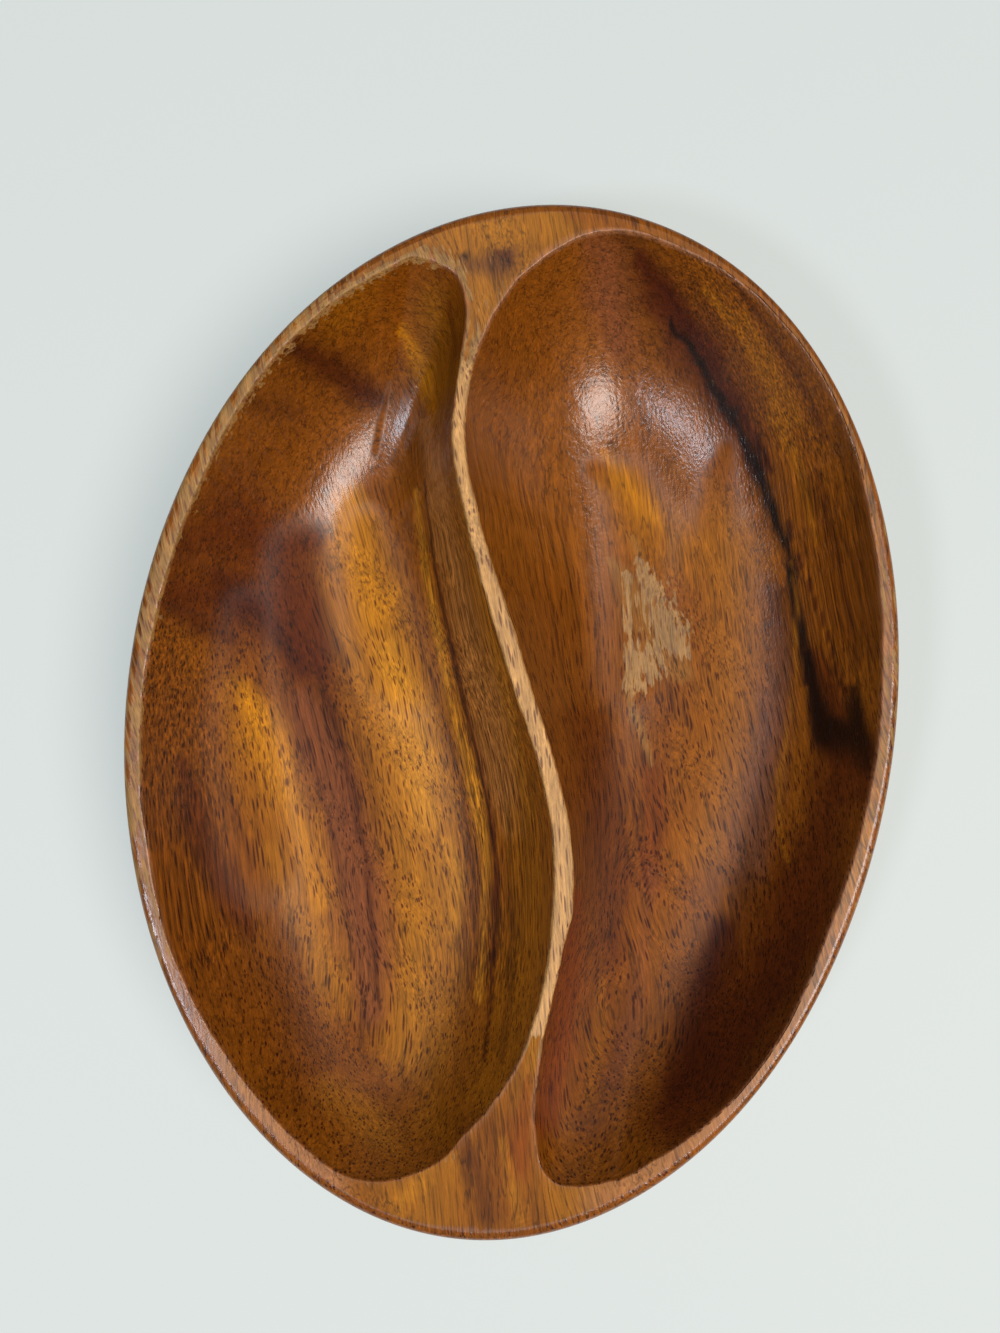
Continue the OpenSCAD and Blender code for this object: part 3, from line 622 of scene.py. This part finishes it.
# Patterns in the grain: size of a cell in mm across, along and through the grain, detail, roughness
noise = {}
for name, cell, detail, roughness in (
        ("silk", (0.45, 9, 0.45), 3, 0.6),          # silky streaks 0.4 mm wide and about 10 mm long
        ("broad", (2.2, 60, 2.2), 2, 0.5),          # broader ones 2 mm wide
        ("stripes", (0.85, 90, 0.85), 2, 0.5),      # growth layers cut at a slant
        ("layers", (3.2, 75, 3.2), 3, 0.55),        # their edges
        ("rag", (1.4, 7, 1.4), 4, 0.5),             # the ragged border of rubbed lacquer
        ("peel", (0.95, 1.45, 0.95), 3, 0.5)):      # orange peel in the lacquer
    place = add(t, "ShaderNodeVectorMath", {0: grain_in, 1: [1 / c for c in cell]}, operation="MULTIPLY")
    noise[name] = add(t, "ShaderNodeTexNoise", {"Vector": place, "Scale": 1, "Detail": detail,
                                                "Roughness": roughness})

# Pores that the surface cuts open: needles about 0.6 mm wide and 5 mm long, and smaller ones between
pore = {}
for name, cell, inner, outer in (
        ("large", (1.2, 10.5, 1.2), 0.21, 0.34), ("small", (0.66, 5.5, 0.66), 0.16, 0.32)):
    place = add(t, "ShaderNodeVectorMath", {0: grain_in, 1: [1 / c for c in cell]}, operation="MULTIPLY")
    gap = add(t, "ShaderNodeTexVoronoi", {"Vector": place, "Scale": 1}, feature="F1")
    pore[name] = add(t, "ShaderNodeMapRange", {"Value": gap, "From Min": inner, "From Max": outer,
                     "To Min": 1, "To Max": 0}, interpolation_type="SMOOTHSTEP")

# Light and dark in the lacquered wood, from the middle 0.4 of each noise's range
share = {}
for name, source, low, high in (
        ("silk", "silk", 0.72, 1.28), ("broad", "broad", 0.82, 1.18), ("stripes", "stripes", -0.70, 0.50),
        ("dry_silk", "silk", 0.6, 1.4), ("dry_broad", "broad", 0.75, 1.2), ("rag", "rag", -0.45, 0.45),
        ("roughness", "broad", 0.23, 0.28)):
    share[name] = add(t, "ShaderNodeMapRange", {"Value": noise[source], "From Min": 0.3, "From Max": 0.7,
                      "To Min": low, "To Max": high})
shade = add(t, "ShaderNodeMath", {0: share["silk"], 1: share["broad"]}, operation="MULTIPLY")
striped = add(t, "ShaderNodeMath", {0: stripe_in, 1: share["stripes"], 2: 1.0}, operation="MULTIPLY_ADD")
shade = add(t, "ShaderNodeMath", {0: shade, 1: striped}, operation="MULTIPLY")
# Thin dark growth lines, where the edges of the layers meet the surface
off_line = add(t, "ShaderNodeMath", {0: noise["layers"], 1: 0.5}, operation="SUBTRACT")
off_line = add(t, "ShaderNodeMath", {0: off_line}, operation="ABSOLUTE")
growth_line = add(t, "ShaderNodeMapRange", {"Value": off_line, "From Min": 0.0, "From Max": 0.03,
                  "To Min": 0.50, "To Max": 1.0}, interpolation_type="SMOOTHSTEP")
shade = add(t, "ShaderNodeMath", {0: shade, 1: growth_line}, operation="MULTIPLY")
lacquered = add(t, "ShaderNodeMix", {6: tone_in, 7: shade, 0: 1.0}, data_type="RGBA",
                blend_type="MULTIPLY").outputs[2]

# Lacquer and dust have darkened the pores
large = add(t, "ShaderNodeMath", {0: pore["large"], 1: 0.95}, operation="MULTIPLY")
small = add(t, "ShaderNodeMath", {0: pore["small"], 1: 0.28}, operation="MULTIPLY")
pores = add(t, "ShaderNodeMath", {0: large, 1: small}, operation="MAXIMUM")
pores = add(t, "ShaderNodeMath", {0: pores, 1: open_in}, operation="MULTIPLY")
lacquered = add(t, "ShaderNodeMix", {6: lacquered, 7: (*linear("9E8681"), 1), 0: pores}, data_type="RGBA",
                blend_type="MULTIPLY").outputs[2]

# Bare wood is pale tan, and its open pores have filled with dirt
ragged = add(t, "ShaderNodeMath", {0: bare_in, 1: share["rag"]}, operation="ADD")
bare_now = add(t, "ShaderNodeMapRange", {"Value": ragged, "From Min": 0.40, "From Max": 0.64,
               "To Min": 0, "To Max": 1}, interpolation_type="SMOOTHSTEP")
dry = add(t, "ShaderNodeMath", {0: share["dry_silk"], 1: share["dry_broad"]}, operation="MULTIPLY")
tan = add(t, "ShaderNodeMix", {6: bare_tone_in, 7: dry, 0: 1.0}, data_type="RGBA",
          blend_type="MULTIPLY").outputs[2]
large = add(t, "ShaderNodeMath", {0: pore["large"], 1: 0.9}, operation="MULTIPLY")
small = add(t, "ShaderNodeMath", {0: pore["small"], 1: 0.35}, operation="MULTIPLY")
dirt = add(t, "ShaderNodeMath", {0: large, 1: small}, operation="MAXIMUM")
tan = add(t, "ShaderNodeMix", {6: tan, 7: (*linear("6A4020"), 1), 0: dirt}, data_type="RGBA").outputs[2]
colour = add(t, "ShaderNodeMix", {6: lacquered, 7: tan, 0: bare_now}, data_type="RGBA").outputs[2]

# The lacquer's skin has a fine orange peel, and dips a little where it has sunk into a pore
raised = add(t, "ShaderNodeMath", {0: noise["peel"], 1: 0.5}, operation="MULTIPLY")
sunken = add(t, "ShaderNodeMath", {0: pores, 1: 0.08}, operation="MULTIPLY")
height = add(t, "ShaderNodeMath", {0: raised, 1: sunken}, operation="SUBTRACT")
bump = add(t, "ShaderNodeBump", {"Strength": 0.8, "Distance": 0.0004, "Height": height})
# Satin where it is whole, matt where spoons have rubbed it, and dry where the wood is bare
rough = add(t, "ShaderNodeMix", {2: share["roughness"], 3: 1.0, 0: dull_in}, data_type="FLOAT")
rough = add(t, "ShaderNodeMix", {2: rough, 3: 0.62, 0: bare_now}, data_type="FLOAT")
surface = add(t, "ShaderNodeBsdfPrincipled", {"Base Color": colour, "Roughness": rough,
              "IOR": 1.5, "Specular IOR Level": 0.58, "Normal": bump})
add(t, "ShaderNodeOutputMaterial", {"Surface": surface})

bowl_mesh.materials.append(wood)
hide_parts("carved_bowl")
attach(bowl, "root")

# ------------------------------------------------------------------ floor
# The pale table that the bowl stands on, painted and slightly green. Plain and almost matt, so it
# shows the bowl's shadow and nothing else.

FLOOR_HALF = 3.0        # m, from the middle to its edges
floor_mesh = bpy.data.meshes.new("floor")
floor_mesh.from_pydata([(-FLOOR_HALF, -FLOOR_HALF, 0), (FLOOR_HALF, -FLOOR_HALF, 0),
                        (FLOOR_HALF, FLOOR_HALF, 0), (-FLOOR_HALF, FLOOR_HALF, 0)], [], [(0, 1, 2, 3)])
floor = bpy.data.objects.new("floor", floor_mesh)
bpy.context.scene.collection.objects.link(floor)

paint = bpy.data.materials.new("painted_table")
paint.use_nodes = True
t = paint.node_tree
t.nodes.clear()
mottle = add(t, "ShaderNodeTexNoise", {"Scale": 9, "Detail": 2})
pale = add(t, "ShaderNodeMix", {6: (*linear("DCE6E4"), 1), 7: (*linear("E0E8E6"), 1), 0: mottle},
           data_type="RGBA").outputs[2]
surface = add(t, "ShaderNodeBsdfPrincipled", {"Base Color": pale, "Roughness": 0.55})
# The camera sees it two thirds lit by itself, which keeps the backdrop pale and the shadow soft
by_camera = add(t, "ShaderNodeLightPath").outputs["Is Camera Ray"]
seen = add(t, "ShaderNodeMath", {0: by_camera, 1: 0.66}, operation="MULTIPLY")
own = add(t, "ShaderNodeEmission", {"Color": (*linear("D2DAD8"), 1), "Strength": 1})
mixed = add(t, "ShaderNodeMixShader", {0: seen, 1: surface.outputs[0], 2: own.outputs[0]})
add(t, "ShaderNodeOutputMaterial", {"Surface": mixed})
floor_mesh.materials.append(paint)

# ------------------------------------------------------------------ light
# Soft room light, a broad warm lamp high on the right, and a smaller cooler one high at the near
# left. The two lamps give the pair of highlights in the upper part of each well.

world = bpy.data.worlds.new("room")
world.use_nodes = True
bpy.context.scene.world = world
t = world.node_tree
t.nodes.clear()
# The camera sees it paler than the light it gives
by_camera = add(t, "ShaderNodeLightPath").outputs["Is Camera Ray"]
glow = add(t, "ShaderNodeMath", {0: by_camera, 1: 0.63, 2: 0.17}, operation="MULTIPLY_ADD")
sky = add(t, "ShaderNodeBackground", {"Color": (*linear("F3F9F8"), 1), "Strength": glow})
add(t, "ShaderNodeOutputWorld", {"Surface": sky})


def lamp(name, towards, distance, size, power, code):
    """A round lamp that faces the bowl: its direction from there, metres away, metres across, watts."""
    light = bpy.data.lights.new(name, "AREA")
    light.shape, light.size, light.energy, light.color = "DISK", size, power, linear(code)
    place = bpy.data.objects.new(name, light)
    way = unit(np.array(towards, float))
    place.location = way * distance
    place.rotation_euler = Vector(way).to_track_quat("Z", "Y").to_euler()
    bpy.context.scene.collection.objects.link(place)


lamp("main_lamp", (0.42, -0.17, 0.89), 2.2, 1.14, 45.5, "FFF1E8")
lamp("side_lamp", (-0.38, -0.34, 0.86), 1.8, 0.30, 11.5, "EAF2FF")

# ------------------------------------------------------------------ camera
# Looks straight down from above the middle of the bowl, turned so that the bowl's long axis leans
# 8.15 degrees to the right in the picture.

VIEW_HEIGHT = 388.2     # mm of the rim's plane that the picture's long side takes in
FILM_HEIGHT = 36        # mm
camera = bpy.data.objects.new("camera", bpy.data.cameras.new("camera"))
camera.data.sensor_fit, camera.data.sensor_height = "VERTICAL", FILM_HEIGHT
camera.data.lens = FILM_HEIGHT * (EYE[2] - HEIGHT) / VIEW_HEIGHT
camera.location = EYE / 1000
camera.rotation_euler = (0, 0, np.radians(8.15))
bpy.context.scene.collection.objects.link(camera)
bpy.context.scene.camera = camera
bpy.context.scene.view_settings.view_transform = "Standard"
